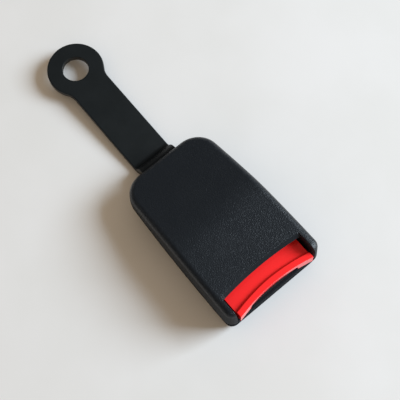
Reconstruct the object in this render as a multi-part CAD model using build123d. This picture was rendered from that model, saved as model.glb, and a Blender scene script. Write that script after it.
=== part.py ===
"""Seat belt buckle: end-release buckle on a cranked anchor strap.

Lengths are in millimetres and angles in degrees. Pieces are drawn from the rear
wall of the housing: X runs forward to the mouth, Y across, and Z up from the
surface that the buckle lies on. They are exported about the anchor hole centre.
"""

import os
from math import asin, copysign, cos, degrees, radians, sin, sqrt, tan

from build123d import *

# Housing covers
HOUSING_LENGTH = 78.0
REAR_HALF_WIDTH = 22.6
FRONT_HALF_WIDTH = 25.3
SIDE_BULGE = 0.8
REAR_CORNER = 11.5
FRONT_CORNER = 4.5
SPLIT_Z = 11.0
COVER_HEIGHT = 23.0
WALL = 2.0
TOP_DRAFT = 3.0
BASE_DRAFT = 8.0
ROOF_SLOPE = 10.5
ROOF_BEND_LEAD = 11.0
ROOF_BEND_RADIUS = 70.0
ROOF_EDGE = 3.0
BASE_BEND_LEAD = 4.0
BASE_BEND_RADIUS = 140.0
BASE_RISE = 3.0
BASE_EDGE = 4.5
INNER_EDGE_SHARE = 0.8
LIP_HEIGHT = 1.5
LIP_CLEARANCE = 0.1
LIP_SETBACK = 0.9
GROOVE_HEIGHT = 0.9
GROOVE_DEPTH = 0.5
RAIL_THICKNESS = 1.5
RAIL_Y = 9.75
RAIL_SETBACK = 1.0
GUIDE_RAIL_DROP = 1.25

# Mouth and press button
EAR_WIDTH = 4.05
EAR_LENGTH = 14.0
RIM_SETBACK = 10.9
RIM_CHAMFER = 1.5
RIM_ARC_RADIUS = 160.0
BUTTON_SIDE_GAP = 1.35
BUTTON_DEPTH = 6.0
BUTTON_SKIN = 1.6
BUTTON_OVERLAP = 6.1
BUTTON_REACH = 0.2
BUTTON_ARC_RADIUS = 83.0
BUTTON_LIP_WIDTH = 2.75
BUTTON_LIP_RISE = 1.8
BUTTON_LIP_FILLET = 1.2
BUTTON_EDGE = 0.3
BUTTON_WALL = 2.0
BUTTON_SKIRT = 4.6
BUTTON_STROKE = 5.0
BUTTON_ARM_INSET = 1.1
BUTTON_ARM_THICKNESS = 2.6
BUTTON_ARM_HEIGHT = 3.4
BUTTON_ARM_RISE = 1.1
BUTTON_RISER = 2.0
BUTTON_NOTCH_LENGTH = 8.0
BUTTON_NOTCH_CORNER = 1.5

# Strap, frame and rivets
STRAP_THICKNESS = 3.0
STRAP_WIDTH = 19.2
STRAP_EDGE = 0.5
EYELET_DIAMETER = 27.0
ANCHOR_HOLE_DIAMETER = 12.5
SHOULDER_RADIUS = 9.0
STRAP_REACH = 65.2
STRAP_RISE = 4.0
CRANK_ANGLE = 62.0
CRANK_SETBACK = 2.5
BEND_RADIUS = 2.5
STRAP_TO_WALL = 2.2
FRAME_THICKNESS = 2.3
FRAME_BEND = 1.84
FRAME_REAR_X = 4.0
FRAME_SETBACK = 10.5
FRAME_SINK = 0.4
FRAME_TAIL_WIDTH = 22.0
FRAME_HEADROOM = 1.8
FRAME_STEP_LEAD = 0.65
FRAME_STEP_PLAY = 0.6
FRAME_TOE = 1.5
CHEEK_HEIGHT = 1.0
CHEEK_RUN = 2.5
JOGGLE_GAP = 0.4
JOGGLE_RUN = 1.2
TAB_BOTTOM = 3.2
WALL_BEHIND_PIVOT = 4.0
RIVET_DIAMETER = 5.0
RIVET_HEAD_DIAMETER = 8.0
RIVET_HEAD_HEIGHT = 1.3
RIVET_DOME = 0.9
RIVET_FOOT = 0.65
RIVET_END = 3.8
RIVET_PITCH = 8.6

# Latch and lock
TONGUE_GAP = 2.8
LATCH_THICKNESS = 2.0
LATCH_BEND = 1.6
PIVOT_X = 27.0
PIVOT_DIAMETER = 2.5
PIVOT_HEAD_STEP = 0.8
PIVOT_HEAD_WIDTH = 0.8
PIVOT_RAISE = 0.4
HUB_RADIUS = 2.3
TOOTH_X = 52.0
TOOTH_WIDTH = 12.0
TOOTH_ENGAGEMENT = 1.2
LATCH_LIFT = 4.0
LATCH_STEP = 1.52
LATCH_STEP_SETBACK = 12.3
LATCH_STEP_RUN = 1.5
LATCH_STEP_SHIFT = 0.5
LATCH_NECK = 8.0
PIN_DIAMETER = 2.5
PIN_SETBACK = 14.6
PIN_TRAVEL = 4.4
PIN_HEADROOM = 0.55
PIN_OVERHANG = 1.9
PIN_EDGE = 0.3
SLIDER_FRONT = 1.5
SLIDER_LENGTH = 7.3
SLIDER_DEPTH = 0.4
SLIDER_HEIGHT = 2.0
SLIDER_BOSS_HALF = 2.8
SLIDER_BOSS_DEPTH = 1.3
SLIDER_CHEEK = 2.5
SLIDER_WINDOW = 4.2
SPRING_POST = 1.2
LOCK_SPRING_DIAMETER = 2.4
LOCK_SPRING_WIRE = 0.5
LOCK_SPRING_TURNS = 6
LOCK_SPRING_POCKET = 4.0
LOCK_SPRING_RAISE = 0.35
POCKET_FLOOR = 0.4
POCKET_PLAY = 0.15
BRIDGE_THICKNESS = 1.5
BRIDGE_SETBACK = 2.2
BRIDGE_EAR_RAISE = 1.9

# Ejector
EJECTOR_LEAD = 3.5
EJECTOR_STROKE = 11.5
NOSE_LENGTH = 5.4
NOSE_LAND = 0.1
KEEL_LENGTH = 5.0
KEEL_WIDTH = 8.0
KEEL_ROOT = 0.6
FOOT_WIDTH = 11.0
FOOT_HEIGHT = 3.9
FOOT_CORNER = 0.8
FOOT_POST_RADIUS = 1.4
FOOT_POST_LENGTH = 2.0
EJECTOR_SPRING_DIAMETER = 5.0
EJECTOR_SPRING_WIRE = 0.8
EJECTOR_SPRING_TURNS = 8
EJECTOR_SPRING_DROP = 0.5

# Button springs
BUTTON_SPRING_DIAMETER = 3.8
BUTTON_SPRING_WIRE = 0.6
BUTTON_SPRING_TURNS = 7
BUTTON_SPRING_LENGTH = 16.0
BUTTON_SPRING_POST_RADIUS = 1.0
SPRING_RIB_THICKNESS = 2.0

# Clearances, and how far cutting shapes run past what they cut
RUNNING = 0.05
SLIDING = 0.2
SEAT = 0.1
SIDE_PLAY = 0.3
ARM_PLAY = 0.7
ROOF_PLAY = 0.7
TONGUE_SIDE_PLAY = 0.3
NOSE_SIDE_PLAY = 1.2
SLIDER_SIDE_PLAY = 0.4
OVERCUT = 2.0

# Levels that follow
FLOOR_TOP = SPLIT_Z - FRAME_SINK
FLOOR_BOTTOM = FLOOR_TOP - FRAME_THICKNESS
STRAP_Z = FLOOR_TOP - STRAP_THICKNESS / 2
TAIL_TOP = FLOOR_TOP + FRAME_THICKNESS
LATCH_BOTTOM = FLOOR_TOP + TONGUE_GAP
LATCH_TOP = LATCH_BOTTOM + LATCH_THICKNESS
PIVOT_Z = FLOOR_TOP + PIVOT_RAISE + HUB_RADIUS
TOOTH_TIP_Z = FLOOR_TOP - TOOTH_ENGAGEMENT
PIN_Z = LATCH_TOP + PIN_HEADROOM + PIN_DIAMETER / 2
LOCK_SPRING_Z = PIN_Z + LOCK_SPRING_RAISE
FRAME_TOP = PIN_Z + PIN_DIAMETER / 2 + FRAME_HEADROOM
EJECTOR_SPRING_Z = FLOOR_BOTTOM - EJECTOR_SPRING_DROP - EJECTOR_SPRING_DIAMETER / 2
BUTTON_FACE_Z = COVER_HEIGHT - BUTTON_DEPTH
BUTTON_UNDER_Z = BUTTON_FACE_Z - BUTTON_SKIN
BUTTON_SKIRT_Z = BUTTON_FACE_Z - BUTTON_SKIRT
BUTTON_SPRING_Z = BUTTON_SKIRT_Z
LOW_WALL_TOP = BUTTON_UNDER_Z - FRAME_STEP_PLAY

# Places along the housing that follow
ROOF_BEND_X = PIVOT_X + ROOF_BEND_LEAD
BASE_BEND_X = PIVOT_X + BASE_BEND_LEAD
RIM_X = HOUSING_LENGTH - RIM_SETBACK
EAR_X = HOUSING_LENGTH - EAR_LENGTH
BUTTON_CORNER_X = HOUSING_LENGTH + BUTTON_REACH
BUTTON_REAR_X = RIM_X - BUTTON_OVERLAP
SPRING_RIB_X = BUTTON_REAR_X - BUTTON_SPRING_LENGTH
FRAME_FRONT_X = HOUSING_LENGTH - FRAME_SETBACK
FRAME_WALL_REAR_X = PIVOT_X - WALL_BEHIND_PIVOT
STRAP_INSERT = FRAME_WALL_REAR_X - STRAP_TO_WALL
FRONT_RIVET_X = STRAP_INSERT - RIVET_END
REAR_RIVET_X = FRONT_RIVET_X - RIVET_PITCH
BRIDGE_X = PIVOT_X - BRIDGE_SETBACK
LATCH_FRONT_X = TOOTH_X + LATCH_THICKNESS
LATCH_STEP_X = TOOTH_X - LATCH_STEP_SETBACK
PIN_REST_X = TOOTH_X - PIN_SETBACK
SLIDER_FRONT_X = PIN_REST_X + SLIDER_FRONT
SLIDER_REAR_X = SLIDER_FRONT_X - SLIDER_LENGTH
EJECTOR_FRONT_X = LATCH_FRONT_X + EJECTOR_LEAD
KEEL_FRONT_X = LATCH_FRONT_X + SEAT
KEEL_REAR_X = KEEL_FRONT_X - KEEL_LENGTH
ARM_REAR_X = PIN_REST_X + PIN_TRAVEL + PIN_DIAMETER / 2 + SEAT

# Half widths and angles that follow
MOUTH_HALF_WIDTH = FRONT_HALF_WIDTH - EAR_WIDTH
BUTTON_HALF_WIDTH = MOUTH_HALF_WIDTH - BUTTON_SIDE_GAP
ARM_OUTER = BUTTON_HALF_WIDTH - BUTTON_ARM_INSET
ARM_INNER = ARM_OUTER - BUTTON_ARM_THICKNESS
FRAME_OUTER_HALF = ARM_INNER - ARM_PLAY
FRAME_INNER_HALF = FRAME_OUTER_HALF - FRAME_THICKNESS
BUTTON_SPRING_Y = FRAME_OUTER_HALF + SIDE_PLAY + BUTTON_SPRING_DIAMETER / 2
TOOTH_REACH = TOOTH_X + LATCH_THICKNESS / 2 - PIVOT_X
LATCH_SWING = degrees(asin(LATCH_LIFT / TOOTH_REACH))


def box(x0, x1, y0, y1, z0, z1):
    """Block between two opposite corners."""
    centre = ((x0 + x1) / 2, (y0 + y1) / 2, (z0 + z1) / 2)
    return Pos(*centre) * Box(x1 - x0, y1 - y0, z1 - z0)


def across(profile, half_width):
    """Side profile drawn in XZ, extruded equally to both sides."""
    return extrude(profile, half_width, both=True)


def side_sketch(*points):
    """Closed face in the XZ plane from (x, z) corners."""
    return make_face(Polyline(*[(x, 0, z) for x, z in points], close=True))


def cross_cylinder(x, z, radius, half_length):
    """Cylinder along Y."""
    return Pos(x, 0, z) * Rot(90, 0, 0) * Cylinder(radius, 2 * half_length)


def mirrored(part):
    """The part together with its copy on the other side."""
    return part + mirror(part, Plane.XZ)


def coil(start_x, end_x, y, z, diameter, wire, turns):
    """Round-wire compression spring along X with closed ends."""
    length = end_x - start_x - wire
    radius = (diameter - wire) / 2
    path = Helix(pitch=length / turns, height=length, radius=radius)
    section = Plane(origin=path @ 0, z_dir=path % 0) * Circle(wire / 2)
    spring = sweep(section, path=path, is_frenet=True)
    return Pos(start_x + wire / 2, y, z) * Rot(0, 90, 0) * spring


def plan_outline(inset):
    """Housing outline on the parting plane, with bowed sides, drawn in by inset."""
    spread = (FRONT_HALF_WIDTH - REAR_HALF_WIDTH) / HOUSING_LENGTH
    rear_x = inset
    front_x = HOUSING_LENGTH - inset
    rear = REAR_HALF_WIDTH - inset + spread * inset
    front = FRONT_HALF_WIDTH - inset - spread * inset
    middle = ((rear_x + front_x) / 2, (rear + front) / 2 + SIDE_BULGE)
    side = ThreePointArc((front_x, front), middle, (rear_x, rear))
    ends = Line((rear_x, -rear), (rear_x, rear)) + Line((front_x, -front), (front_x, front))
    outline = make_face(side + mirror(side, Plane.XZ) + ends)
    rear_pair = outline.vertices().sort_by(Axis.X)[:2]
    outline = fillet(rear_pair, REAR_CORNER - inset)
    front_pair = outline.vertices().sort_by(Axis.X)[-2:]
    return fillet(front_pair, FRONT_CORNER - inset)


def plan_block(inset, height, taper=0.0):
    """Prism of the housing outline, up or down from the parting plane."""
    way = (0, 0, copysign(1, height))
    return Pos(0, 0, SPLIT_Z) * extrude(plan_outline(inset), abs(height), dir=way, taper=taper)


def under_roof(inset):
    """Everything below the roof surface, which slopes down behind its bend."""
    bend = (ROOF_BEND_X, 0, COVER_HEIGHT - inset)
    reach = HOUSING_LENGTH
    rear = (ROOF_BEND_X - reach, 0, COVER_HEIGHT - inset - reach * tan(radians(ROOF_SLOPE)))
    front = (ROOF_BEND_X + reach, 0, COVER_HEIGHT - inset)
    roof = FilletPolyline(rear, bend, front, radius=ROOF_BEND_RADIUS)
    floor = Polyline(front, (front[0], 0, -COVER_HEIGHT), (rear[0], 0, -COVER_HEIGHT), rear)
    return across(make_face(roof + floor), FRONT_HALF_WIDTH + OVERCUT)


def over_base(inset):
    """Everything above the underside, flat in front and rising to the rear."""
    bend = (BASE_BEND_X, 0, inset)
    reach = HOUSING_LENGTH
    rear = (BASE_BEND_X - reach, 0, inset + reach * tan(radians(BASE_RISE)))
    front = (BASE_BEND_X + reach, 0, inset)
    base = FilletPolyline(rear, bend, front, radius=BASE_BEND_RADIUS)
    lid = Polyline(front, (front[0], 0, COVER_HEIGHT), (rear[0], 0, COVER_HEIGHT), rear)
    return across(make_face(base + lid), FRONT_HALF_WIDTH + OVERCUT)


def top_form(inset):
    """Upper half of the housing as a solid block, drawn in by inset."""
    block = plan_block(inset, COVER_HEIGHT - SPLIT_Z + OVERCUT, TOP_DRAFT) & under_roof(inset)
    rim = block.edges().filter_by(lambda edge: edge.center().Z > SPLIT_Z + LIP_HEIGHT)
    upright = rim.filter_by(lambda edge: edge.bounding_box().min.Z < SPLIT_Z + SEAT)
    return fillet(rim - upright, ROOF_EDGE - inset * INNER_EDGE_SHARE)


def base_form(inset):
    """Lower half of the housing as a solid block, drawn in by inset."""
    block = plan_block(inset, -SPLIT_Z - OVERCUT, BASE_DRAFT) & over_base(inset)
    rim = block.edges().filter_by(lambda edge: edge.center().Z < SPLIT_Z - SEAT)
    upright = rim.filter_by(lambda edge: edge.bounding_box().max.Z > SPLIT_Z - SEAT)
    return fillet(rim - upright, BASE_EDGE - inset * INNER_EDGE_SHARE)


def strap_corners():
    """Corner points of the strap's mid line, from the anchor hole into the housing."""
    half_sum = radians((CRANK_ANGLE + STRAP_RISE) / 2)
    half_gap = radians((CRANK_ANGLE - STRAP_RISE) / 2)
    middle_radius = BEND_RADIUS + STRAP_THICKNESS / 2
    low_z = STRAP_THICKNESS / 2 + middle_radius * (1 - cos(half_gap) / cos(half_sum))
    low_x = -CRANK_SETBACK - (STRAP_Z - low_z) / tan(radians(CRANK_ANGLE))
    anchor_z = low_z + (low_x + STRAP_REACH) * tan(radians(STRAP_RISE))
    return [
        (-STRAP_REACH, 0, anchor_z),
        (low_x, 0, low_z),
        (-CRANK_SETBACK, 0, STRAP_Z),
        (STRAP_INSERT, 0, STRAP_Z),
    ]


def anchor_plane():
    """Plane of the eyelet, centred in its hole with X along the strap."""
    run = Vector(cos(radians(STRAP_RISE)), 0, -sin(radians(STRAP_RISE)))
    normal = Vector(sin(radians(STRAP_RISE)), 0, cos(radians(STRAP_RISE)))
    return Plane(origin=strap_corners()[0], x_dir=run, z_dir=normal)


def rivet_holes(radius):
    """Cylinders through strap and frame tail at the rivet places."""
    hole = Pos(0, 0, FLOOR_TOP) * Cylinder(radius, 4 * STRAP_THICKNESS)
    return Pos(FRONT_RIVET_X, 0, 0) * hole + Pos(REAR_RIVET_X, 0, 0) * hole


def make_anchor_strap():
    """Flat strap: round eyelet, cranked neck, and the tail riveted to the frame."""
    plane = anchor_plane()
    neck = EYELET_DIAMETER
    plan = Circle(EYELET_DIAMETER / 2) + Pos(neck / 2, 0) * Rectangle(neck, STRAP_WIDTH)
    shoulders = plan.vertices().sort_by(Axis.X)[:2]
    plan = fillet(shoulders, SHOULDER_RADIUS)
    eyelet = extrude(plan, STRAP_THICKNESS / 2, both=True)
    flat = eyelet.edges().filter_by(Plane.XY)
    outline = flat.filter_by(lambda edge: edge.center().X < neck - STRAP_EDGE)
    eyelet = fillet(outline, STRAP_EDGE)
    eyelet -= Cylinder(ANCHOR_HOLE_DIAMETER / 2, 2 * STRAP_THICKNESS)
    eyelet = plane * eyelet

    corners = strap_corners()
    start = plane.origin + plane.x_dir * neck
    path = FilletPolyline(start, *corners[1:], radius=BEND_RADIUS + STRAP_THICKNESS / 2)
    section_plane = Plane(origin=path @ 0, x_dir=(0, 1, 0), z_dir=path % 0)
    section = section_plane * RectangleRounded(STRAP_WIDTH, STRAP_THICKNESS, STRAP_EDGE)
    return eyelet + sweep(section, path=path) - rivet_holes(RIVET_DIAMETER / 2 + RUNNING)


def make_rivet(x):
    """Domed rivet through the frame tail and the strap."""
    top = TAIL_TOP
    bottom = STRAP_Z - STRAP_THICKNESS / 2
    shank = Pos(x, 0, (top + bottom) / 2) * Cylinder(RIVET_DIAMETER / 2, top - bottom)
    head = Cylinder(RIVET_HEAD_DIAMETER / 2, RIVET_HEAD_HEIGHT)
    upper = fillet(head.edges().sort_by(Axis.Z)[-1], RIVET_DOME)
    lower = fillet(head.edges().sort_by(Axis.Z)[0], RIVET_FOOT)
    half = RIVET_HEAD_HEIGHT / 2
    return shank + Pos(x, 0, top + half) * upper + Pos(x, 0, bottom - half) * lower


def frame_walls():
    """Both upright side walls of the frame, kept clear of the roof above them."""
    step_x = BUTTON_REAR_X - BUTTON_STROKE - FRAME_STEP_LEAD
    profile = side_sketch(
        (FRAME_WALL_REAR_X + FRAME_TOE, FLOOR_BOTTOM),
        (FRAME_FRONT_X, FLOOR_BOTTOM),
        (FRAME_FRONT_X, FLOOR_TOP + CHEEK_HEIGHT),
        (FRAME_FRONT_X - CHEEK_RUN, LOW_WALL_TOP),
        (step_x, LOW_WALL_TOP),
        (step_x - CHEEK_RUN, FRAME_TOP),
        (FRAME_WALL_REAR_X, FRAME_TOP),
        (FRAME_WALL_REAR_X, TAIL_TOP),
    )
    walls = across(profile, FRAME_OUTER_HALF) & under_roof(WALL + ROOF_PLAY)
    half = FRAME_INNER_HALF
    return walls - box(-OVERCUT, HOUSING_LENGTH, -half, half, 0, COVER_HEIGHT)


def frame_floor():
    """Channel floor with the raised tail that lies on the strap."""
    step_x = STRAP_INSERT + JOGGLE_GAP
    step_end = step_x + FRAME_THICKNESS
    profile = side_sketch(
        (FRAME_REAR_X, FLOOR_TOP),
        (step_x, FLOOR_TOP),
        (step_x + JOGGLE_GAP, FLOOR_BOTTOM),
        (FRAME_FRONT_X, FLOOR_BOTTOM),
        (FRAME_FRONT_X, FLOOR_TOP),
        (step_end + JOGGLE_RUN, FLOOR_TOP),
        (step_end, TAIL_TOP),
        (FRAME_REAR_X, TAIL_TOP),
    )
    front = across(profile, FRAME_OUTER_HALF)
    tail_half = FRAME_TAIL_WIDTH / 2
    toe_x = FRAME_WALL_REAR_X + FRAME_TOE
    waste = box(-OVERCUT, toe_x, tail_half, FRONT_HALF_WIDTH, 0, COVER_HEIGHT)
    return front - mirrored(waste)


def lock_pin_slot():
    """Straight slot through both walls that the lock pin runs in."""
    radius = PIN_DIAMETER / 2 + SEAT
    rear_x = PIN_REST_X - BUTTON_STROKE
    front_x = PIN_REST_X + PIN_TRAVEL
    half = FRAME_OUTER_HALF + OVERCUT
    rear = cross_cylinder(rear_x, PIN_Z, radius, half)
    front = cross_cylinder(front_x, PIN_Z, radius, half)
    middle = box(rear_x, front_x, -half, half, PIN_Z - radius, PIN_Z + radius)
    return rear + front + middle


def spring_tab():
    """Tab bent down from the floor that the ejector spring stands on."""
    half = KEEL_WIDTH / 2
    return box(PIVOT_X - FRAME_THICKNESS, PIVOT_X, -half, half, TAB_BOTTOM, FLOOR_TOP)


def bridge_slot():
    """Slots in the wall tops that hold the spring bridge."""
    x0 = BRIDGE_X - RUNNING
    x1 = BRIDGE_X + BRIDGE_THICKNESS + RUNNING
    half = FRAME_OUTER_HALF + OVERCUT
    return box(x0, x1, -half, half, PIVOT_Z + BRIDGE_EAR_RAISE, COVER_HEIGHT)


def make_base_frame():
    """Stamped steel channel with the tooth window, ejector slot and bearing holes."""
    frame = frame_floor() + frame_walls()
    low = frame.edges().filter_by(lambda edge: abs(edge.center().Z - FLOOR_BOTTOM) < RUNNING)
    folds = low.filter_by(Axis.X).filter_by(lambda edge: abs(edge.center().Y) > FRAME_INNER_HALF)
    frame = fillet(folds, FRAME_BEND)
    play = TONGUE_SIDE_PLAY
    half = TOOTH_WIDTH / 2 + play
    window = box(TOOTH_X - play, LATCH_FRONT_X + play, -half, half, 0, COVER_HEIGHT)
    slot_half = KEEL_WIDTH / 2 + SLIDING
    slot = box(PIVOT_X, TOOTH_X, -slot_half, slot_half, 0, FLOOR_TOP + SEAT)
    frame = frame - window - slot + spring_tab()
    frame -= rivet_holes(RIVET_DIAMETER / 2 + RUNNING)
    frame -= cross_cylinder(PIVOT_X, PIVOT_Z, PIVOT_DIAMETER / 2 + RUNNING, FRONT_HALF_WIDTH)
    return frame - lock_pin_slot() - bridge_slot()


def make_spring_bridge():
    """Steel plate across the frame walls, with the seat of the lock spring."""
    bottom = PIVOT_Z + HUB_RADIUS + SLIDING
    x0 = BRIDGE_X
    x1 = BRIDGE_X + BRIDGE_THICKNESS
    inner = FRAME_INNER_HALF - SEAT
    plate = box(x0, x1, -inner, inner, bottom, COVER_HEIGHT)
    ear_bottom = PIVOT_Z + BRIDGE_EAR_RAISE
    ears = mirrored(box(x0, x1, inner, FRAME_OUTER_HALF, ear_bottom, COVER_HEIGHT))
    body = (plate + ears) & under_roof(WALL + SIDE_PLAY)
    post = Rot(0, 90, 0) * Cylinder(SPRING_POST / 2, SPRING_POST)
    return body + Pos(x1 + SPRING_POST / 2, 0, LOCK_SPRING_Z) * post


def latch_profile():
    """Side profile of the formed latch in its locked position, without the hub."""
    low_top = LATCH_TOP - LATCH_STEP
    low_bottom = low_top - LATCH_THICKNESS
    step_x = LATCH_STEP_X
    step_run = LATCH_STEP_RUN
    under_x = step_x - LATCH_STEP_SHIFT
    return side_sketch(
        (PIVOT_X, low_bottom),
        (under_x, low_bottom),
        (under_x + step_run, LATCH_BOTTOM),
        (TOOTH_X, LATCH_BOTTOM),
        (TOOTH_X, TOOTH_TIP_Z),
        (LATCH_FRONT_X, TOOTH_TIP_Z),
        (LATCH_FRONT_X, LATCH_TOP),
        (step_x + step_run, LATCH_TOP),
        (step_x, low_top),
        (PIVOT_X, low_top),
    )


def make_latch():
    """Latch plate with its rolled hub and tooth, swung up to the open position."""
    half = FRAME_INNER_HALF - SLIDING
    plate = across(latch_profile(), half)
    high = plate.edges().filter_by(Axis.Y).filter_by(lambda edge: edge.center().Z > LATCH_BOTTOM)
    bend = high.filter_by(lambda edge: edge.center().X > TOOTH_X + SEAT)
    plate = fillet(bend, LATCH_BEND)
    neck_x = TOOTH_X - LATCH_NECK
    beside = box(neck_x, HOUSING_LENGTH, TOOTH_WIDTH / 2, FRONT_HALF_WIDTH, 0, COVER_HEIGHT)
    plate -= mirrored(beside)
    hub = cross_cylinder(PIVOT_X, PIVOT_Z, HUB_RADIUS, half)
    latch = plate + hub
    latch -= cross_cylinder(PIVOT_X, PIVOT_Z, PIVOT_DIAMETER / 2 + RUNNING, half + OVERCUT)
    return latch.rotate(Axis((PIVOT_X, 0, PIVOT_Z), (0, 1, 0)), -LATCH_SWING)


def make_latch_pivot():
    """Cross pin with a head at each end, carried by the frame walls."""
    half = FRAME_OUTER_HALF + SEAT
    shaft = cross_cylinder(PIVOT_X, PIVOT_Z, PIVOT_DIAMETER / 2, half)
    head_half = PIVOT_HEAD_WIDTH / 2
    head = cross_cylinder(PIVOT_X, PIVOT_Z, PIVOT_DIAMETER / 2 + PIVOT_HEAD_STEP, head_half)
    return shaft + mirrored(Pos(0, half + head_half, 0) * head)


def make_lock_pin():
    """Steel cross pin that blocks the latch when it is pushed forward."""
    pin = cross_cylinder(PIN_REST_X, PIN_Z, PIN_DIAMETER / 2, FRAME_OUTER_HALF + PIN_OVERHANG)
    return chamfer(pin.edges().filter_by(GeomType.CIRCLE), PIN_EDGE)


def make_lock_slider():
    """Plastic carriage that holds the pin and takes the push of the lock spring."""
    half = FRAME_INNER_HALF - SLIDER_SIDE_PLAY
    bottom = PIN_Z - SLIDER_DEPTH
    rear = SLIDER_REAR_X
    body = box(rear, SLIDER_FRONT_X, -half, half, bottom, PIN_Z + SLIDER_HEIGHT)
    body &= Pos(BUTTON_STROKE, 0, 0) * under_roof(WALL + ROOF_PLAY)
    boss_half = SLIDER_BOSS_HALF
    window_front = rear + SLIDER_WINDOW
    window_half = half - SLIDER_CHEEK
    window = box(rear - OVERCUT, window_front, boss_half, window_half, 0, COVER_HEIGHT)
    body -= mirrored(window)
    boss_front = rear + LOCK_SPRING_POCKET + POCKET_FLOOR
    body += box(rear, boss_front, -boss_half, boss_half, PIN_Z - SLIDER_BOSS_DEPTH, bottom)
    body -= cross_cylinder(PIN_REST_X, PIN_Z, PIN_DIAMETER / 2 + RUNNING, half + OVERCUT)
    pocket_radius = LOCK_SPRING_DIAMETER / 2 + POCKET_PLAY
    pocket = Rot(0, 90, 0) * Cylinder(pocket_radius, LOCK_SPRING_POCKET)
    return body - Pos(rear + LOCK_SPRING_POCKET / 2, 0, LOCK_SPRING_Z) * pocket


def make_lock_spring():
    """Spring between the bridge and the pocket of the lock slider."""
    start = BRIDGE_X + BRIDGE_THICKNESS
    end = SLIDER_REAR_X + LOCK_SPRING_POCKET
    diameter = LOCK_SPRING_DIAMETER
    return coil(start, end, 0, LOCK_SPRING_Z, diameter, LOCK_SPRING_WIRE, LOCK_SPRING_TURNS)


def make_ejector():
    """Wedge slider: nose above the floor, keel through the slot, foot below it."""
    front = EJECTOR_FRONT_X
    rear = front - NOSE_LENGTH
    nose_bottom = FLOOR_TOP + SEAT
    nose_top = LATCH_BOTTOM - SLIDING
    nose_half = FRAME_INNER_HALF - NOSE_SIDE_PLAY
    nose = box(rear, front, -nose_half, nose_half, nose_bottom, nose_top)
    fall = LATCH_LIFT / EJECTOR_STROKE
    ramp_high = nose_top - NOSE_LAND
    ramp_low = ramp_high - fall * NOSE_LENGTH
    over = side_sketch(
        (rear - OVERCUT, ramp_high + fall * OVERCUT),
        (front + OVERCUT, ramp_low - fall * OVERCUT),
        (front + OVERCUT, COVER_HEIGHT),
        (rear - OVERCUT, COVER_HEIGHT),
    )
    nose -= across(over, TOOTH_WIDTH / 2 + TONGUE_SIDE_PLAY)
    half = KEEL_WIDTH / 2
    foot_top = FLOOR_BOTTOM - SLIDING
    keel = box(KEEL_REAR_X, KEEL_FRONT_X, -half, half, foot_top, nose_bottom + KEEL_ROOT)
    foot_half = FOOT_WIDTH / 2
    foot_bottom = foot_top - FOOT_HEIGHT
    foot = box(KEEL_REAR_X, KEEL_FRONT_X, -foot_half, foot_half, foot_bottom, foot_top)
    foot = chamfer(foot.edges().filter_by(Axis.Z), FOOT_CORNER)
    post = Rot(0, 90, 0) * Cylinder(FOOT_POST_RADIUS, FOOT_POST_LENGTH)
    post = Pos(KEEL_REAR_X - FOOT_POST_LENGTH / 2, 0, EJECTOR_SPRING_Z) * post
    return nose + keel + foot + post


def make_ejector_spring():
    """Spring between the frame's tab and the ejector's foot."""
    z = EJECTOR_SPRING_Z
    wire = EJECTOR_SPRING_WIRE
    return coil(PIVOT_X, KEEL_REAR_X, 0, z, EJECTOR_SPRING_DIAMETER, wire, EJECTOR_SPRING_TURNS)


def button_front_sag(half_width):
    """How far the concave front stands behind its corners at a half width."""
    full = BUTTON_ARC_RADIUS - sqrt(BUTTON_ARC_RADIUS**2 - BUTTON_HALF_WIDTH**2)
    here = BUTTON_ARC_RADIUS - sqrt(BUTTON_ARC_RADIUS**2 - half_width**2)
    return full - here


def button_plan(rear_x, front_inset, half_width):
    """Plan of the button with its concave front, set back by front_inset."""
    corner_x = BUTTON_CORNER_X - front_inset - button_front_sag(half_width)
    middle_x = BUTTON_CORNER_X - front_inset - button_front_sag(0)
    front_right = (corner_x, half_width)
    front_left = (corner_x, -half_width)
    arc = ThreePointArc(front_left, (middle_x, 0), front_right)
    rest = Polyline(front_right, (rear_x, half_width), (rear_x, -half_width), front_left)
    return make_face(arc + rest)


def button_slab(rear_x, front_inset, half_width, low, high):
    """Prism of the button plan between two heights."""
    return Pos(0, 0, low) * extrude(button_plan(rear_x, front_inset, half_width), high - low)


def button_arm():
    """Arm along the frame whose end pushes the lock pin back, on the +Y side."""
    top = PIN_Z + BUTTON_ARM_RISE
    low = top - BUTTON_ARM_HEIGHT
    rear = BUTTON_REAR_X
    front = BUTTON_REAR_X + BUTTON_RISER
    arm = box(ARM_REAR_X, front, ARM_INNER, ARM_OUTER, low, top)
    pad_bottom = BUTTON_SPRING_Z - BUTTON_SPRING_DIAMETER / 2 + SEAT
    riser = box(rear, front, ARM_INNER, BUTTON_HALF_WIDTH, pad_bottom, top)
    post = Rot(0, 90, 0) * Cylinder(BUTTON_SPRING_POST_RADIUS, BUTTON_RISER)
    return arm + riser + Pos(rear - BUTTON_RISER / 2, BUTTON_SPRING_Y, BUTTON_SPRING_Z) * post


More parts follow.
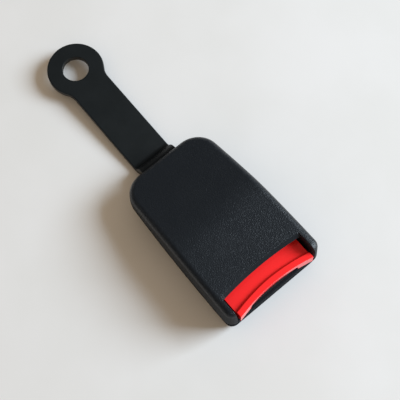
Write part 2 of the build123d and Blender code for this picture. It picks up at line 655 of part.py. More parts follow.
def make_press_button():
    """Red button: open shell with a raised front lip, skirts, and two rear arms."""
    half = BUTTON_HALF_WIDTH
    rear = BUTTON_REAR_X
    face_z = BUTTON_FACE_Z
    lip_top = face_z + BUTTON_LIP_RISE
    lip = button_slab(rear, 0, half, face_z, lip_top)
    past = lip_top + OVERCUT
    behind = button_slab(rear - OVERCUT, BUTTON_LIP_WIDTH, half + OVERCUT, face_z, past)
    body = button_slab(rear, 0, half, BUTTON_SKIRT_Z, face_z) + (lip - behind)
    level = body.edges().filter_by(lambda edge: abs(edge.center().Z - face_z) < RUNNING)
    root = level.filter_by(lambda edge: edge.length > half and edge.center().X > RIM_X)
    body = fillet(root.sort_by(Axis.X)[:1], BUTTON_LIP_FILLET)
    inner = half - BUTTON_SKIN
    under = BUTTON_SKIRT_Z - OVERCUT
    body -= button_slab(rear - OVERCUT, BUTTON_WALL, inner, under, BUTTON_UNDER_Z)
    notch_half = FRAME_INNER_HALF - SLIDING
    notch_top = BUTTON_UNDER_Z + SLIDING
    notch_x = BUTTON_CORNER_X - BUTTON_NOTCH_LENGTH
    notch = box(notch_x, BUTTON_CORNER_X + OVERCUT, -notch_half, notch_half, 0, notch_top)
    notch = fillet(notch.edges().filter_by(Axis.X).sort_by(Axis.Z)[-2:], BUTTON_NOTCH_CORNER)
    body -= notch
    rim = body.edges().filter_by(lambda edge: abs(edge.center().Z - lip_top) < RUNNING)
    body = fillet(rim, BUTTON_EDGE)
    return body + mirrored(button_arm())


def make_button_spring(side):
    """Return spring beside the frame, on the side given as 1 or -1."""
    y = side * BUTTON_SPRING_Y
    z = BUTTON_SPRING_Z
    diameter = BUTTON_SPRING_DIAMETER
    turns = BUTTON_SPRING_TURNS
    return coil(SPRING_RIB_X, BUTTON_REAR_X, y, z, diameter, BUTTON_SPRING_WIRE, turns)


def make_tongue_guide():
    """Plastic ledge in the mouth that leads the tongue onto the frame floor."""
    rear = FRAME_FRONT_X + SEAT
    front = HOUSING_LENGTH - WALL - SEAT
    profile = side_sketch(
        (rear, FLOOR_BOTTOM),
        (front, FLOOR_BOTTOM),
        (front, SPLIT_Z),
        (rear + CHEEK_RUN, SPLIT_Z),
        (rear, FLOOR_TOP),
    )
    return across(profile, FRAME_OUTER_HALF) & base_form(WALL + SEAT)


def strap_gap():
    """Opening in the rear wall that the strap passes through."""
    half = STRAP_WIDTH / 2 + SLIDING
    bottom = STRAP_Z - STRAP_THICKNESS / 2 - SLIDING
    return box(-OVERCUT, 2 * WALL, -half, half, bottom, SPLIT_Z + STRAP_THICKNESS)


def locating_lip(clearance):
    """Thin lip along the parting line, used for the lip and for its rebate."""
    height = LIP_HEIGHT + clearance
    ring = plan_block(WALL / 2 - clearance, height) - plan_block(WALL, height)
    half = FRONT_HALF_WIDTH
    mouth = box(EAR_X - WALL, HOUSING_LENGTH + OVERCUT, -half, half, 0, COVER_HEIGHT)
    strap_half = STRAP_WIDTH / 2 + 2 * clearance
    rear = box(-OVERCUT, 2 * WALL, -strap_half, strap_half, 0, COVER_HEIGHT)
    return ring - mouth - rear


def parting_groove():
    """Shadow groove around the cover just above the parting plane."""
    return plan_block(-OVERCUT, GROOVE_HEIGHT) - plan_block(GROOVE_DEPTH, GROOVE_HEIGHT)


def frame_seats():
    """Rails and cross ribs on the floor of the lower cover that carry the frame."""
    thick = RAIL_THICKNESS
    rail_front = FRAME_FRONT_X - RAIL_SETBACK
    rail_inner = RAIL_Y - thick / 2
    rail = box(PIVOT_X, rail_front, rail_inner, rail_inner + thick, 0, FLOOR_BOTTOM)
    half = FRAME_OUTER_HALF
    rear_rib = box(FRAME_FRONT_X, FRAME_FRONT_X + thick, -half, half, 0, FLOOR_BOTTOM)
    front_x = HOUSING_LENGTH - 2 * WALL
    front_rib = box(front_x, front_x + thick, -half, half, 0, FLOOR_BOTTOM)
    return mirrored(rail) + rear_rib + front_rib


def spring_ribs():
    """Upright ribs beside the frame that the button springs stand on."""
    inner = BUTTON_SPRING_Y - BUTTON_SPRING_DIAMETER / 2
    outer = BUTTON_SPRING_Y + BUTTON_SPRING_DIAMETER / 2
    top = BUTTON_SPRING_Z + BUTTON_SPRING_DIAMETER / 2
    rear = SPRING_RIB_X - SPRING_RIB_THICKNESS
    return mirrored(box(rear, SPRING_RIB_X, inner, outer, 0, top))


def make_bottom_cover():
    """Lower shell with frame seats, spring ribs and the straight front lip."""
    block = base_form(0)
    reach = plan_block(WALL, COVER_HEIGHT)
    shell = block - base_form(WALL)
    shell += frame_seats() & block
    shell += spring_ribs() & (block + reach)
    front_x = HOUSING_LENGTH - LIP_SETBACK
    half = MOUTH_HALF_WIDTH
    shell -= box(front_x, HOUSING_LENGTH + OVERCUT, -half, half, -OVERCUT, COVER_HEIGHT)
    return shell + locating_lip(0) - strap_gap()


def mouth_cut():
    """Opening for the button through roof and front wall, with its chamfered rim."""
    half = MOUTH_HALF_WIDTH
    centre_x = RIM_X + RIM_ARC_RADIUS
    chamfer_z = COVER_HEIGHT - RIM_CHAMFER
    low = SPLIT_Z - OVERCUT
    bore = Pos(centre_x, 0, (low + chamfer_z) / 2) * Cylinder(RIM_ARC_RADIUS, chamfer_z - low)
    flare = Cone(RIM_ARC_RADIUS, RIM_ARC_RADIUS + 2 * RIM_CHAMFER, 2 * RIM_CHAMFER)
    flare = Pos(centre_x, 0, chamfer_z + RIM_CHAMFER) * flare
    front_x = HOUSING_LENGTH + OVERCUT
    reach = box(EAR_X - WALL, front_x, -half, half, low, COVER_HEIGHT + OVERCUT)
    return (bore + flare) & reach


def roof_ribs():
    """Rails beside the button arms, and stops that hold the frame walls down."""
    inner = BUTTON_HALF_WIDTH + SIDE_PLAY
    outer = inner + RAIL_THICKNESS
    rail_bottom = BUTTON_UNDER_Z - GUIDE_RAIL_DROP
    rail = box(SPRING_RIB_X, EAR_X, inner, outer, rail_bottom, COVER_HEIGHT)
    rear = SPRING_RIB_X
    front = SPRING_RIB_X + SPRING_RIB_THICKNESS
    stop_bottom = FRAME_TOP + SEAT
    stop = box(rear, front, FRAME_INNER_HALF, FRAME_OUTER_HALF, stop_bottom, COVER_HEIGHT)
    return mirrored(rail + stop)


def make_top_cover():
    """Upper shell with the button opening between two ears."""
    block = top_form(0)
    shell = block - top_form(WALL)
    inner = MOUTH_HALF_WIDTH
    ear = box(EAR_X, HOUSING_LENGTH, inner, FRONT_HALF_WIDTH, SPLIT_Z, COVER_HEIGHT)
    shell += mirrored(ear) & block
    shell += roof_ribs() & block
    shell -= mouth_cut()
    shell -= locating_lip(LIP_CLEARANCE)
    return shell - parting_groove()


def all_parts():
    """Every piece by its node name."""
    return {
        "top_cover": make_top_cover(),
        "bottom_cover": make_bottom_cover(),
        "anchor_strap": make_anchor_strap(),
        "base_frame": make_base_frame(),
        "front_rivet": make_rivet(FRONT_RIVET_X),
        "rear_rivet": make_rivet(REAR_RIVET_X),
        "spring_bridge": make_spring_bridge(),
        "tongue_guide": make_tongue_guide(),
        "latch_pivot": make_latch_pivot(),
        "latch": make_latch(),
        "lock_pin": make_lock_pin(),
        "lock_slider": make_lock_slider(),
        "lock_spring": make_lock_spring(),
        "ejector": make_ejector(),
        "ejector_spring": make_ejector_spring(),
        "press_button": make_press_button(),
        "left_button_spring": make_button_spring(-1),
        "right_button_spring": make_button_spring(1),
    }


def main():
    """Write one STEP file per piece, about the anchor hole centre."""
    os.makedirs("parts", exist_ok=True)
    anchor_x, _, anchor_z = strap_corners()[0]
    for name, part in all_parts().items():
        export_step(Pos(-anchor_x, 0, -anchor_z) * part, f"parts/{name}.step")
    print(f"anchor hole stands {anchor_z:.3f} above the table, {-anchor_x:.3f} behind the housing")
    print(f"pivot at {PIVOT_X - anchor_x:.3f}, {PIVOT_Z - anchor_z:.3f}; swing {LATCH_SWING:.3f}")


if __name__ == "__main__":
    main()
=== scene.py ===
"""Seat belt buckle: finishes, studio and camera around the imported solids.

Every length is in metres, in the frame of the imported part: the origin is the
centre of the anchor hole, +X points to the mouth and +Z up through the button.
"""
import logging
import math
from dataclasses import dataclass, field
from enum import Enum
from typing import Any, Mapping

import bmesh
import bpy
from mathutils import Matrix, Vector


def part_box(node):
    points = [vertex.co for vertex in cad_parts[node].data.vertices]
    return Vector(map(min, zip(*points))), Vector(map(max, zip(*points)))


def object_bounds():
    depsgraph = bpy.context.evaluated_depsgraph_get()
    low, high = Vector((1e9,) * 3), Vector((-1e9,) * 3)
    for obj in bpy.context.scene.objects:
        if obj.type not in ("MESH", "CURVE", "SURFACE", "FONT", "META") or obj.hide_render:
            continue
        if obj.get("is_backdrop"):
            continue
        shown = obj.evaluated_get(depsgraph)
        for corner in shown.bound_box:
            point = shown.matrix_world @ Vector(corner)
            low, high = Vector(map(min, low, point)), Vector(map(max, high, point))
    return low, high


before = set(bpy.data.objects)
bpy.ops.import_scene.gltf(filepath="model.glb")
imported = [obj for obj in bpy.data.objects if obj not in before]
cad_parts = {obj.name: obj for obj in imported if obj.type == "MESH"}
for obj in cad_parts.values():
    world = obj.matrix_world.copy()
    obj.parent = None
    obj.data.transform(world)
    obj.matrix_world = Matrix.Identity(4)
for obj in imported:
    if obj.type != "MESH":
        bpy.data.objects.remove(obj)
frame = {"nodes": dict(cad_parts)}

LOG = logging.getLogger("buckle")
MM = 0.001
BEVEL_SAMPLES = 6
EDGE_BEND = (0.01, 0.22)  # one minus the cosine at which an edge starts to wear, and wears fully
MIX_FACTOR, MIX_FIRST, MIX_SECOND, MIX_COLOUR = 0, 6, 7, 2  # a colour Mix node's sockets

Colour = tuple[float, float, float]
Triple = tuple[float, float, float]


class Operation(Enum):
    """The arithmetic that a wire takes part in, by Blender's names."""

    ADD = "ADD"
    SUBTRACT = "SUBTRACT"
    MULTIPLY = "MULTIPLY"
    DIVIDE = "DIVIDE"


# --------------------------------------------------------------------- shader tools


class Wire:
    """A number's socket that takes part in ordinary arithmetic."""

    def __init__(self, shader: "Shader", socket: bpy.types.NodeSocket) -> None:
        """Keeps the socket and the shader that new nodes go into."""
        self.shader = shader
        self.socket = socket

    def _math(self, operation: Operation, *values: Any, clamp: bool = False) -> "Wire":
        """Adds a Math node on some values.

        Args:
            operation: what the node does.
            values: wires or numbers, in the order of the node's sockets.
            clamp: whether the result is held between 0 and 1.

        Returns:
            The wire that carries the result.
        """
        node = self.shader.node(
            "ShaderNodeMath",
            {"operation": operation.value, "use_clamp": clamp},
            dict(enumerate(values)),
        )
        return Wire(self.shader, node.outputs[0])

    def __add__(self, other: Any) -> "Wire":
        """Sum."""
        return self._math(Operation.ADD, self, other)

    def __radd__(self, other: Any) -> "Wire":
        """Sum with the number on the left."""
        return self._math(Operation.ADD, other, self)

    def __sub__(self, other: Any) -> "Wire":
        """Difference."""
        return self._math(Operation.SUBTRACT, self, other)

    def __rsub__(self, other: Any) -> "Wire":
        """Difference with the number on the left."""
        return self._math(Operation.SUBTRACT, other, self)

    def __mul__(self, other: Any) -> "Wire":
        """Product."""
        return self._math(Operation.MULTIPLY, self, other)

    def __rmul__(self, other: Any) -> "Wire":
        """Product with the number on the left."""
        return self._math(Operation.MULTIPLY, other, self)

    def __truediv__(self, other: Any) -> "Wire":
        """Quotient."""
        return self._math(Operation.DIVIDE, self, other)

    def held(self) -> "Wire":
        """The value held between 0 and 1."""
        return self._math(Operation.ADD, self, 0.0, clamp=True)

    def step(self, low: float, high: float) -> "Wire":
        """A smooth step of the value.

        Args:
            low: where the step starts, at 0.
            high: where it ends, at 1.

        Returns:
            The wire that carries the step.
        """
        node = self.shader.node(
            "ShaderNodeMapRange",
            {"interpolation_type": "SMOOTHSTEP"},
            {"Value": self, "From Min": low, "From Max": high},
        )
        return Wire(self.shader, node.outputs["Result"])


class Tree:
    """A node tree under construction."""

    def __init__(self, tree: bpy.types.NodeTree) -> None:
        """Takes a tree and empties it."""
        self.tree = tree
        self.tree.nodes.clear()

    def node(
        self,
        kind: str,
        settings: Mapping[str, Any] | None = None,
        inputs: Mapping[Any, Any] | None = None,
    ) -> bpy.types.Node:
        """Adds one node: its settings first, then its sockets.

        Args:
            kind: the node's type.
            settings: its properties.
            inputs: a value or a link for each socket, by name or number.

        Returns:
            The node.
        """
        made = self.tree.nodes.new(kind)
        for name, value in (settings or {}).items():
            setattr(made, name, value)
        for name, value in (inputs or {}).items():
            self.feed(made.inputs[name], value)
        return made

    def feed(self, socket: bpy.types.NodeSocket, value: Any) -> None:
        """Links or sets one socket.

        Args:
            socket: the socket to feed.
            value: a wire, another socket, or a plain value.
        """
        if isinstance(value, Wire):
            value = value.socket
        if isinstance(value, bpy.types.NodeSocket):
            self.tree.links.new(value, socket)
        elif socket.type == "RGBA" and len(value) == 3:
            socket.default_value = (*value, 1.0)
        else:
            socket.default_value = value

    def mix(self, factor: Any, first: Any, second: Any) -> bpy.types.NodeSocket:
        """Mixes two colours.

        Args:
            factor: 0 for the first, 1 for the second.
            first: a colour or a socket.
            second: a colour or a socket.

        Returns:
            The socket that carries the colour.
        """
        sockets = {MIX_FACTOR: factor, MIX_FIRST: first, MIX_SECOND: second}
        return self.node("ShaderNodeMix", {"data_type": "RGBA"}, sockets).outputs[MIX_COLOUR]


class Shader(Tree):
    """A material under construction, with one principled shader."""

    def __init__(self, name: str) -> None:
        """Starts a material of that name with an empty tree.

        Args:
            name: the material's name.
        """
        self.material = bpy.data.materials.new(name)
        self.material.use_nodes = True
        super().__init__(self.material.node_tree)
        output = self.node("ShaderNodeOutputMaterial")
        self.surface = self.node("ShaderNodeBsdfPrincipled")
        self.tree.links.new(self.surface.outputs[0], output.inputs["Surface"])
        self.place = self.node("ShaderNodeTexCoord").outputs["Object"]
        self.normal = self.node("ShaderNodeNewGeometry").outputs["Normal"]

    def constant(self, name: str, value: float) -> None:
        """Sets a number on the principled shader's own socket."""
        self.surface.inputs[name].default_value = value

    def varying(self, name: str, value: Any) -> None:
        """Feeds a wire or a link to a socket of the principled shader."""
        self.feed(self.surface.inputs[name], value)

    def axes(self, vector: bpy.types.NodeSocket) -> tuple[Wire, Wire, Wire]:
        """Splits a vector into its three parts.

        Args:
            vector: the socket that carries it.

        Returns:
            The wires of its X, Y and Z.
        """
        parts = self.node("ShaderNodeSeparateXYZ", None, {0: vector}).outputs
        return Wire(self, parts[0]), Wire(self, parts[1]), Wire(self, parts[2])

    def noise(
        self,
        size: float,
        detail: float = 2.0,
        roughness: float = 0.5,
        stretch: Triple | None = None,
    ) -> Wire:
        """Cloudy noise on the object's own coordinates.

        Args:
            size: the breadth of one cloud, in metres.
            detail: how many finer layers lie on the first.
            roughness: how strong the finer layers are.
            stretch: the size of the cloud along each axis over its breadth.

        Returns:
            The wire that carries the noise, from 0 to 1.
        """
        vector = self.place
        if stretch is not None:
            scale = tuple(1.0 / part for part in stretch)
            mapping = self.node("ShaderNodeMapping", None, {"Vector": vector, "Scale": scale})
            vector = mapping.outputs[0]
        made = self.node(
            "ShaderNodeTexNoise",
            None,
            {"Vector": vector, "Scale": 1.0 / size, "Detail": detail, "Roughness": roughness},
        )
        return Wire(self, made.outputs[0])

    def cells(self, size: float) -> Wire:
        """Distance to the nearest of scattered points.

        Args:
            size: the mean distance between the points, in metres.

        Returns:
            The wire that carries the distance over that size.
        """
        made = self.node("ShaderNodeTexVoronoi", None, {"Vector": self.place, "Scale": 1.0 / size})
        return Wire(self, made.outputs["Distance"])

    def edges(self, radius: float) -> Wire:
        """Where sharp outer and inner edges are.

        Args:
            radius: how far from the edge the value reaches, in metres.

        Returns:
            The wire that carries 0 on faces and up to 1 on edges.
        """
        rounded = self.node("ShaderNodeBevel", {"samples": BEVEL_SAMPLES}, {"Radius": radius})
        dot = self.node(
            "ShaderNodeVectorMath",
            {"operation": "DOT_PRODUCT"},
            {0: rounded.outputs[0], 1: self.normal},
        )
        bent = 1.0 - Wire(self, dot.outputs["Value"])
        return bent.step(*EDGE_BEND)

    def bumps(self, height: Wire, depth: float, edge: float) -> bpy.types.NodeSocket:
        """Raises the surface by a height and softens its sharp edges.

        Args:
            height: the height, from 0 to 1.
            depth: the depth that a height of 1 stands for, in metres.
            edge: the radius of the softened edges, in metres.

        Returns:
            The socket that carries the normal.
        """
        rounded = self.node("ShaderNodeBevel", {"samples": BEVEL_SAMPLES}, {"Radius": edge})
        made = self.node(
            "ShaderNodeBump",
            None,
            {"Height": height, "Distance": depth, "Strength": 1.0, "Normal": rounded.outputs[0]},
        )
        return made.outputs[0]


# ------------------------------------------------------------------------- finishes


@dataclass(frozen=True)
class GrainedPlastic:
    """Black moulded plastic with a fine spark-eroded grain.

    A rim is given by the place where it starts and its half width, and the grain on
    its front faces is shallow. "drawn" is how much rougher the upright walls are than
    the top, "uneven" and "glitter" how far its roughness wanders over clouds and
    grain tips, and "worn" how far edges lighten with wear. Grain tips lighten by a
    painted glint: the sparkle of their lit facets put into the base colour, along with
    some grain tone. "rim_calm" is how much of the grain, its painted glint and the
    edge wear the rim loses.
    """

    name: str
    colour: Colour = (0.0088, 0.0108, 0.0135)
    # colour of the painted glint on grain tips, and of the worn edges
    glint_wear_colour: Colour = (0.040, 0.046, 0.054)
    roughness: float = 0.37
    specular: float = 0.6
    grain: float = 0.55 * MM
    depth: float = 0.20 * MM
    edge: float = 0.16 * MM
    cloud: float = 14 * MM
    patch: float = 3 * MM
    reach: float = 0.30 * MM
    uneven: float = 0.12
    glitter: float = 0.16
    drawn: float = 0.50
    # how far the painted glint lightens the grain tips
    painted_glint: float = 0.30
    worn: float = 0.16
    rim_calm: float = 0.9
    rim: tuple[float, float] | None = None

    def _polish(self, shader: Shader) -> Wire | float:
        """Where the polished rim is.

        Args:
            shader: the shader under construction.

        Returns:
            1 on the rim and 0 elsewhere.
        """
        if self.rim is None:
            return 0.0
        start, half = self.rim
        x, y, _ = shader.axes(shader.place)
        forward, _, _ = shader.axes(shader.normal)
        inside = 1.0 - (y * y / half**2).step(1.0, 1.05)
        return forward.step(0.35, 0.55) * x.step(start - MM, start) * inside

    def make(self) -> bpy.types.Material:
        """The material."""
        shader = Shader(self.name)
        grain = shader.noise(self.grain, detail=2.0, roughness=0.55)
        fine = shader.noise(self.grain * 0.5, detail=1.0)
        clouds = shader.noise(self.cloud, detail=3.0)
        polish = self._polish(shader)
        # painted glint: grain tips lightened in the base colour in place of the sparkle of their
        # lit facets
        speck = fine.step(0.60, 0.76) * self.painted_glint
        patches = shader.noise(self.patch).step(0.45, 0.75)
        wear = shader.edges(self.reach) * patches * self.worn
        plain = 1.0 - polish * self.rim_calm
        # painted glint on grain tips plus real edge wear, both left off the polished rim
        glint_plus_wear = (speck + wear) * plain
        colour = shader.mix(glint_plus_wear.held(), self.colour, self.glint_wear_colour)
        shader.varying("Base Color", colour)
        rough = self.roughness + (clouds - 0.5) * self.uneven + (fine - 0.5) * self.glitter
        _, _, up = shader.axes(shader.normal)
        wall = 1.0 - up.step(0.10, 0.55)
        rough = rough - wear * 0.3 - polish * 0.05 + wall * self.drawn
        shader.varying("Roughness", rough.held())
        shader.constant("Specular IOR Level", self.specular)
        height = (grain * 0.75 + fine * 0.25) * plain
        shader.varying("Normal", shader.bumps(height, self.depth, self.edge))
        return shader.material


@dataclass(frozen=True)
class SmoothPlastic:
    """Moulded plastic with a satin face and a faint polish texture."""

    name: str
    colour: Colour = (1.0, 0.026, 0.027)
    worn: Colour = (1.0, 0.11, 0.11)
    roughness: float = 0.16
    ripple: float = 0.004 * MM
    edge: float = 0.12 * MM
    cloud: float = 9 * MM
    polish_grain: float = 0.35 * MM
    scratch: float = 0.5 * MM
    patch: float = 2.2 * MM
    reach: float = 0.20 * MM
    worn_share: float = 0.25
    uneven: float = 0.12

    def make(self) -> bpy.types.Material:
        """The material."""
        shader = Shader(self.name)
        clouds = shader.noise(self.cloud, detail=3.0)
        fine = shader.noise(self.polish_grain, detail=2.0)
        lines = shader.noise(self.scratch, detail=2.0, stretch=(9.0, 1.0, 1.0))
        scratch = lines.step(0.66, 0.74)
        patches = shader.noise(self.patch).step(0.40, 0.75)
        wear = shader.edges(self.reach) * patches * self.worn_share
        colour = shader.mix(wear.held(), self.colour, self.worn)
        shader.varying("Base Color", colour)
        rough = self.roughness + (clouds - 0.5) * self.uneven
        rough = rough + scratch * 0.07 + (fine - 0.5) * 0.05
        shader.varying("Roughness", rough.held())
        normal = shader.bumps(fine * 0.8 + clouds * 0.2, self.ripple, self.edge)
        shader.varying("Normal", normal)
        return shader.material


@dataclass(frozen=True)
class CoatedSteel:
    """Steel plate under a thin matt black coat, worn through on a few edges."""

    name: str
    colour: Colour = (0.0050, 0.0060, 0.0055)
    worn: Colour = (0.085, 0.085, 0.082)
    roughness: float = 0.50
    depth: float = 0.010 * MM
    edge: float = 0.30 * MM
    peel: float = 0.9 * MM
    cloud: float = 11 * MM
    nick: float = 1.4 * MM
    speck: float = 6 * MM
    reach: float = 0.30 * MM
    worn_share: float = 0.6
    speck_share: float = 0.25
    uneven: float = 0.16

    def make(self) -> bpy.types.Material:
        """The material."""
        shader = Shader(self.name)
        peel = shader.noise(self.peel, detail=3.0)
        clouds = shader.noise(self.cloud, detail=4.0)
        nicks = shader.noise(self.nick, detail=4.0).step(0.55, 0.68)
        wear = shader.edges(self.reach) * nicks * self.worn_share
        specks = (1.0 - shader.cells(self.speck).step(0.0, 0.045)) * self.speck_share
        colour = shader.mix((wear + specks).held(), self.colour, self.worn)
        shader.varying("Base Color", colour)
        rough = self.roughness + (clouds - 0.5) * self.uneven + (peel - 0.5) * 0.10 - wear * 0.2
        shader.varying("Roughness", rough.held())
        normal = shader.bumps(peel, self.depth, self.edge)
        shader.varying("Normal", normal)
        return shader.material


@dataclass(frozen=True)
class PlatedSteel:
    """Plated steel with the rolling grain of the sheet or the wire's draw marks."""

    name: str
    colour: Colour = (0.56, 0.55, 0.51)
    dull: Colour = (0.34, 0.33, 0.30)
    metallic: float = 0.72
    roughness: float = 0.34
    grain: Triple = (12.0, 1.0, 1.0)
    edge: float = 0.10 * MM
    line: float = 0.25 * MM
    line_depth: float = 0.004 * MM
    cloud: float = 5 * MM
    reach: float = 0.15 * MM
    uneven: float = 0.20
    brushed: float = 0.22

    def make(self) -> bpy.types.Material:
        """The material."""
        shader = Shader(self.name)
        lines = shader.noise(self.line, detail=3.0, stretch=self.grain)
        clouds = shader.noise(self.cloud, detail=4.0)
        wear = shader.edges(self.reach)
        colour = shader.mix((clouds.step(0.35, 0.7) - wear * 0.5).held(), self.colour, self.dull)
        shader.varying("Base Color", colour)
        shader.constant("Metallic", self.metallic)
        rough = self.roughness + (clouds - 0.5) * self.uneven
        rough = rough + (lines - 0.5) * self.brushed - wear * 0.1
        shader.varying("Roughness", rough.held())
        normal = shader.bumps(lines, self.line_depth, self.edge)
        shader.varying("Normal", normal)
        return shader.material


SPRING_WIRE = PlatedSteel(
    "spring_wire", colour=(0.45, 0.45, 0.46), dull=(0.30, 0.30, 0.31), roughness=0.30
)


@dataclass(frozen=True)
class TableTop:
    """Pale lacquered board, almost even, with a faint mottle."""

    name: str
    colour: Colour = (0.735, 0.735, 0.738)
    shade: Colour = (0.70, 0.70, 0.695)
    cloud: float = 60 * MM
    roughness: float = 0.62
    specular: float = 0.25

    def make(self) -> bpy.types.Material:
        """The material."""
        shader = Shader(self.name)
        clouds = shader.noise(self.cloud, detail=4.0)
        colour = shader.mix(clouds.step(0.3, 0.7), self.colour, self.shade)
        shader.varying("Base Color", colour)
        shader.varying("Roughness", self.roughness + (clouds - 0.5) * 0.1)
        shader.constant("Specular IOR Level", self.specular)
        return shader.material


# --------------------------------------------------------------------- sub-assemblies


@dataclass
class SubAssembly:
    """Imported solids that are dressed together."""

    nodes: Mapping[str, bpy.types.Object]

    def dress(self, name: str, finish: Any) -> None:
        """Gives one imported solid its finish.

        Args:
            name: the solid's node.
            finish: the finish that makes the material.
        """
        mesh = self.nodes[name].data
        material = bpy.data.materials.get(finish.name) or finish.make()
        if not mesh.materials:
            mesh.materials.append(material)
        for index in range(len(mesh.materials)):
            mesh.materials[index] = material
        LOG.info("dressed %s in %s", name, finish.name)

    def build(self) -> None:
        """Makes and dresses the pieces."""
        raise NotImplementedError


@dataclass
class Covers(SubAssembly):
    """The two moulded covers and the guide of the tongue."""

    lower: GrainedPlastic = GrainedPlastic("grained_lower_cover", roughness=0.70, specular=0.10)
    guide: SmoothPlastic = SmoothPlastic(
        "guide_plastic", colour=(0.014, 0.015, 0.017), worn=(0.05, 0.05, 0.05), roughness=0.42
    )

    def build(self) -> None:
        """Dresses the covers and the guide."""
        low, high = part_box("press_button")
        self.dress("top_cover", GrainedPlastic("grained_cover", rim=(low.x, high.y)))
        self.dress("bottom_cover", self.lower)
        self.dress("tongue_guide", self.guide)


@dataclass
class Anchorage(SubAssembly):
    """The coated strap, its rivets and the steel frame that it holds."""

    coat: CoatedSteel = CoatedSteel("strap_coat")
    sheet: PlatedSteel = PlatedSteel("frame_plating")
    rivet: PlatedSteel = PlatedSteel("rivet_steel", grain=(1.0, 1.0, 1.0), roughness=0.38)

    def build(self) -> None:
        """Dresses the strap, the frame and the rivets."""
        self.dress("anchor_strap", self.coat)
        for name in ("base_frame", "spring_bridge"):
            self.dress(name, self.sheet)
        for name in ("front_rivet", "rear_rivet"):
            self.dress(name, self.rivet)


@dataclass
class LatchWork(SubAssembly):
    """The latch with its pivot, the lock and the ejector."""

    plate: PlatedSteel = PlatedSteel("latch_plating", colour=(0.50, 0.50, 0.50), roughness=0.30)
    pin: PlatedSteel = PlatedSteel("ground_pin", grain=(1.0, 12.0, 1.0), roughness=0.24)
    wire: PlatedSteel = SPRING_WIRE
    natural: SmoothPlastic = SmoothPlastic(
        "natural_plastic", colour=(0.66, 0.64, 0.58), worn=(0.74, 0.73, 0.70), roughness=0.34
    )

    def build(self) -> None:
        """Dresses the latch, the pins, the springs and the sliding mouldings."""
        self.dress("latch", self.plate)
        for name in ("latch_pivot", "lock_pin"):
            self.dress(name, self.pin)
        for name in ("lock_spring", "ejector_spring"):
            self.dress(name, self.wire)
        for name in ("lock_slider", "ejector"):
            self.dress(name, self.natural)


@dataclass
class Button(SubAssembly):
    """The press button and its two springs."""

    red: SmoothPlastic = SmoothPlastic("button_red_plastic")
    wire: PlatedSteel = SPRING_WIRE

    def build(self) -> None:
        """Dresses the button and its springs."""
        self.dress("press_button", self.red)
        for name in ("left_button_spring", "right_button_spring"):
            self.dress(name, self.wire)


# ---------------------------------------------------------------------------- studio


@dataclass
class Lamp:
    """A square soft lamp that shines on the buckle."""

    name: str
    azimuth: float
    elevation: float
    distance: float
    size: float
    power: float
    colour: Colour = (1.0, 1.0, 1.0)
    target: Triple = (0.07, 0.0, 0.0)

    def build(self) -> None:
        """Places the lamp.

        The azimuth is counted from +X towards +Y, in degrees, as is the elevation
        above the table.
        """
        light = bpy.data.lights.new(self.name, "AREA")
        light.shape = "SQUARE"
        light.size = self.size
        light.energy = self.power
        light.color = self.colour
        lamp = bpy.data.objects.new(self.name, light)
        around = math.radians(self.azimuth)
        above = math.radians(self.elevation)
        flat = math.cos(above)
        away = Vector((flat * math.cos(around), flat * math.sin(around), math.sin(above)))
        lamp.location = Vector(self.target) + away * self.distance
        lamp.rotation_euler = (-away).to_track_quat("-Z", "Y").to_euler()
        bpy.context.scene.collection.objects.link(lamp)
        LOG.info("placed lamp %s", self.name)


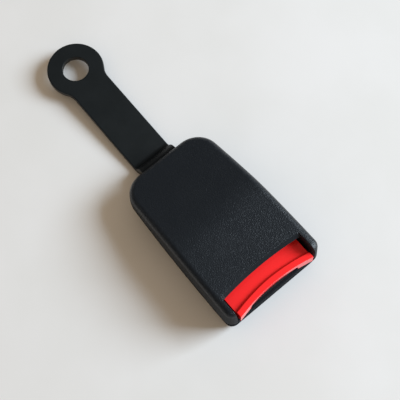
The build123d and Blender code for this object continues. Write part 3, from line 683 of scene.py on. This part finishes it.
@dataclass
class Viewpoint:
    """The camera."""

    place: Triple = (0.19933, -0.06921, 0.35474)
    ahead: Triple = (-0.29142, 0.19023, -0.93749)
    right: Triple = (0.63873, 0.76825, -0.04266)
    lens: float = 76.4

    def build(self) -> None:
        """Places the camera and gives it to the scene."""
        data = bpy.data.cameras.new("camera")
        data.lens = self.lens
        data.sensor_width = 36.0
        data.clip_start = 0.01
        data.clip_end = 20.0
        camera = bpy.data.objects.new("camera", data)
        back = -Vector(self.ahead).normalized()
        right = Vector(self.right)
        right = (right - back * right.dot(back)).normalized()
        turn = Matrix((right, back.cross(right), back)).transposed()
        camera.matrix_world = Matrix.Translation(self.place) @ turn.to_4x4()
        bpy.context.scene.collection.objects.link(camera)
        bpy.context.scene.camera = camera
        LOG.info("placed the camera")


@dataclass
class Studio:
    """The table, the pale room and the lamps."""

    table: TableTop = TableTop("table_top")
    table_size: float = 4.0
    warm_fill: Colour = (0.450, 0.356, 0.259)
    mirrored_room: Colour = (0.045, 0.055, 0.068)
    lamps: list[Lamp] = field(
        default_factory=lambda: [
            Lamp("window", azimuth=58, elevation=34, distance=1.72, size=0.86, power=46.0,
                 colour=(0.773, 0.894, 1.0)),
        ]
    )

    def build(self) -> None:
        """Builds the table, the room and the lamps."""
        self._table()
        self._room()
        for lamp in self.lamps:
            lamp.build()
        bpy.context.scene.view_settings.view_transform = "Standard"

    def _table(self) -> None:
        """Lays a wide plane under the lowest point of the buckle."""
        shape = bmesh.new()
        bmesh.ops.create_grid(shape, x_segments=1, y_segments=1, size=self.table_size / 2)
        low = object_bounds()[0].z
        bmesh.ops.translate(shape, verts=shape.verts, vec=(0.0, 0.0, low))
        mesh = bpy.data.meshes.new("table")
        shape.to_mesh(mesh)
        shape.free()
        mesh.materials.append(self.table.make())
        table = bpy.data.objects.new("table", mesh)
        bpy.context.scene.collection.objects.link(table)
        table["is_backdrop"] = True
        LOG.info("laid the table at %.2f mm", low / MM)

    def _room(self) -> None:
        """Fills the room with warm light and gives gloss a dim room to mirror."""
        world = bpy.data.worlds.new("room")
        world.use_nodes = True
        tree = Tree(world.node_tree)
        glossy = tree.node("ShaderNodeLightPath").outputs["Is Glossy Ray"]
        colour = tree.mix(glossy, self.warm_fill, self.mirrored_room)
        light = tree.node("ShaderNodeBackground", None, {"Color": colour})
        tree.node("ShaderNodeOutputWorld", None, {"Surface": light.outputs[0]})
        bpy.context.scene.world = world


def main() -> None:
    """Builds the scene in order."""
    logging.basicConfig(level=logging.INFO, format="%(name)s: %(message)s")
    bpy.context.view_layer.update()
    nodes = frame["nodes"]
    Viewpoint().build()
    for assembly in (Covers(nodes), Anchorage(nodes), LatchWork(nodes), Button(nodes)):
        assembly.build()
    Studio().build()


if __name__ == "__main__":
    main()
